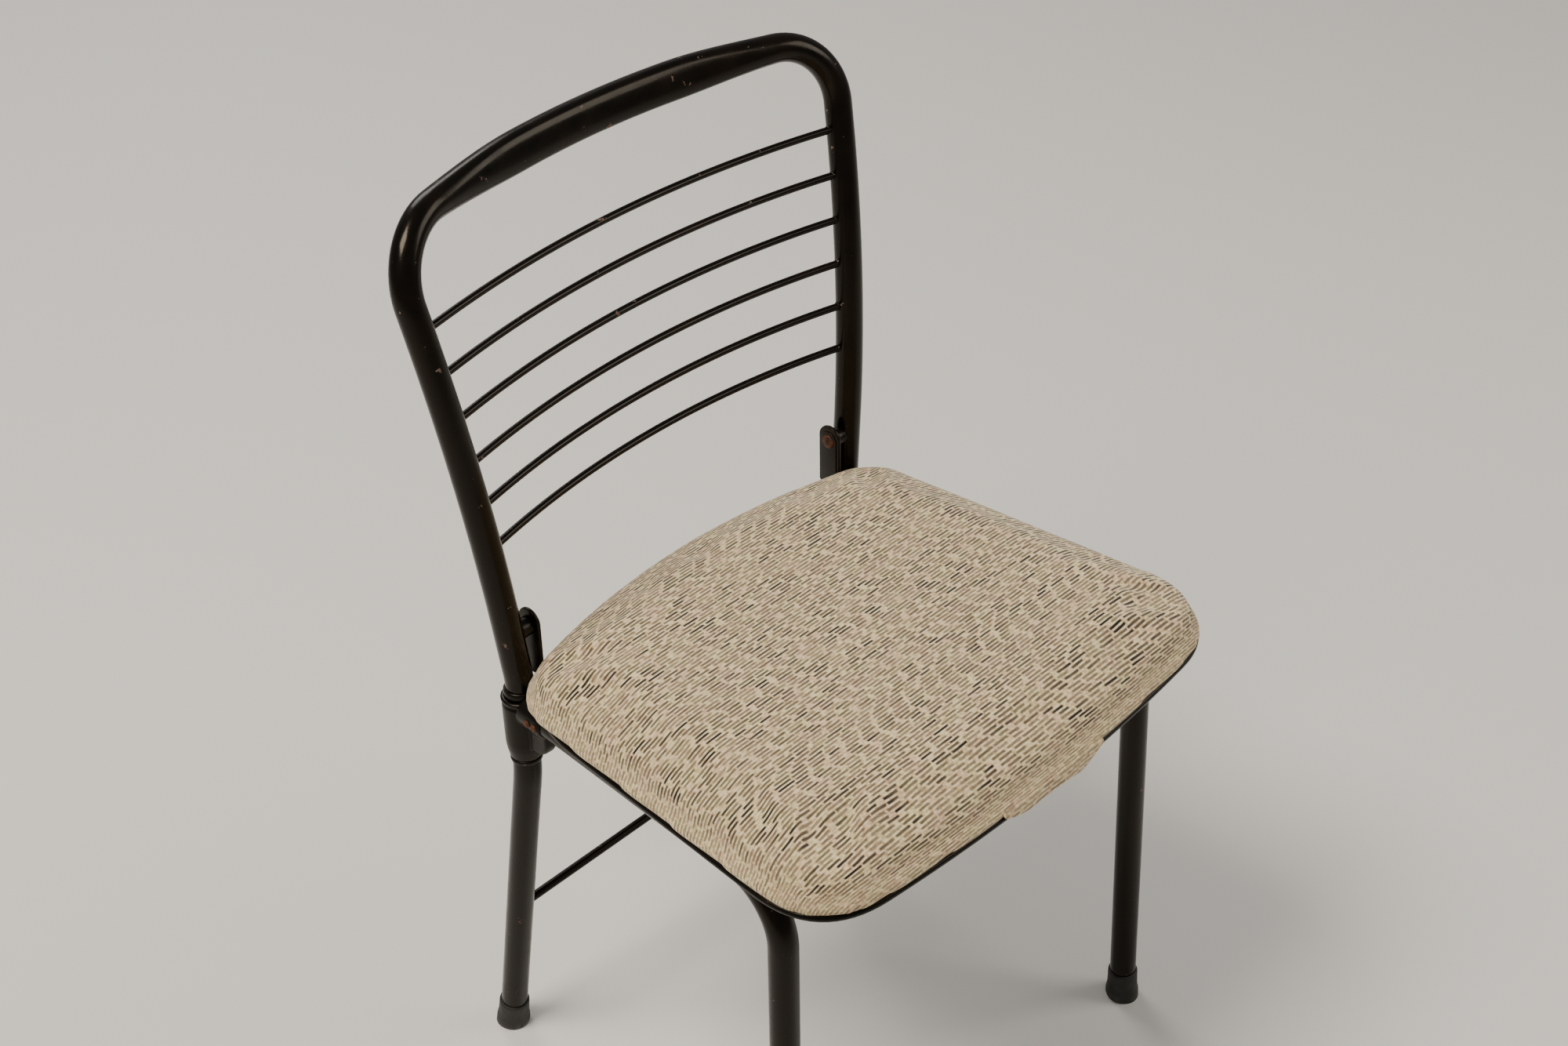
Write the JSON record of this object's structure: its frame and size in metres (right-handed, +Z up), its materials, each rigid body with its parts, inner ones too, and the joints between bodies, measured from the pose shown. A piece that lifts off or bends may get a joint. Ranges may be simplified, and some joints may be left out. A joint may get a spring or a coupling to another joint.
{
  "type": "folding dining chair",
  "caption": "Folding dining chair with a bent tube frame, a wire back, a padded flip-up seat and swing-in front leg gates.",
  "frame": {"origin": "on the floor under the middle of the chair's bounding box", "axes": "+Z up, the chair faces -Y, +X to the right seen from the front"},
  "size_m": [0.4564, 0.4733, 0.7933],
  "materials": {
    "black_enamel": "gloss stoved enamel",
    "hinge_enamel": "worn semi-gloss enamel",
    "pan_enamel": "semi-gloss enamel",
    "rivet_steel": "rust-stained",
    "zinc_steel": "zinc plated",
    "foot_rubber": "matt",
    "plywood": "raw",
    "foam": "open-cell foam",
    "seat_tweed": "slub tweed weave"
  },
  "bodies": {
    "root": {"back_frame": "black_enamel", "back_wire_1": "black_enamel", "back_wire_2": "black_enamel", "back_wire_3": "black_enamel", "back_wire_4": "black_enamel", "back_wire_5": "black_enamel", "back_wire_6": "black_enamel", "rear_cross_rod": "black_enamel", "stop_rings_left": "hinge_enamel", "stop_rings_right": "hinge_enamel", "seat_rivet_left": "rivet_steel", "seat_rivet_right": "rivet_steel", "pivot_bush_left": "hinge_enamel", "pivot_bush_right": "hinge_enamel", "rear_foot_left": "foot_rubber", "rear_foot_right": "foot_rubber", "rear_foot_washers": "zinc_steel"},
    "seat": {"seat_pan": "pan_enamel", "seat_board": "plywood", "seat_foam": "foam", "seat_cover": "seat_tweed", "hinge_arm_left": "hinge_enamel", "hinge_arm_right": "hinge_enamel", "arm_screws": "zinc_steel", "board_screws": "zinc_steel"},
    "gate_left": {"gate_tube_left": "black_enamel", "knuckle_left": "hinge_enamel", "knuckle_rivets_left": "rivet_steel", "front_foot_left": "foot_rubber", "front_foot_washer_left": "zinc_steel"},
    "gate_right": {"gate_tube_right": "black_enamel", "knuckle_right": "hinge_enamel", "knuckle_rivets_right": "rivet_steel", "front_foot_right": "foot_rubber", "front_foot_washer_right": "zinc_steel"}
  },
  "joints": [
    {"name": "seat_fold", "type": "hinge", "parent": "root", "child": "seat", "pos_m": [0, 0.12964, 0.454], "axis": [-1, 0, 0], "range_deg": [0, 88]},
    {"name": "gate_left_fold", "type": "hinge", "parent": "root", "child": "gate_left", "pos_m": [-0.182, 0.12492, 0.39], "axis": [0, 0.0506, 0.9987], "range_deg": [0, 97]},
    {"name": "gate_right_fold", "type": "hinge", "parent": "root", "child": "gate_right", "pos_m": [0.182, 0.12492, 0.39], "axis": [0, -0.0506, -0.9987], "range_deg": [0, 84]}
  ]
}
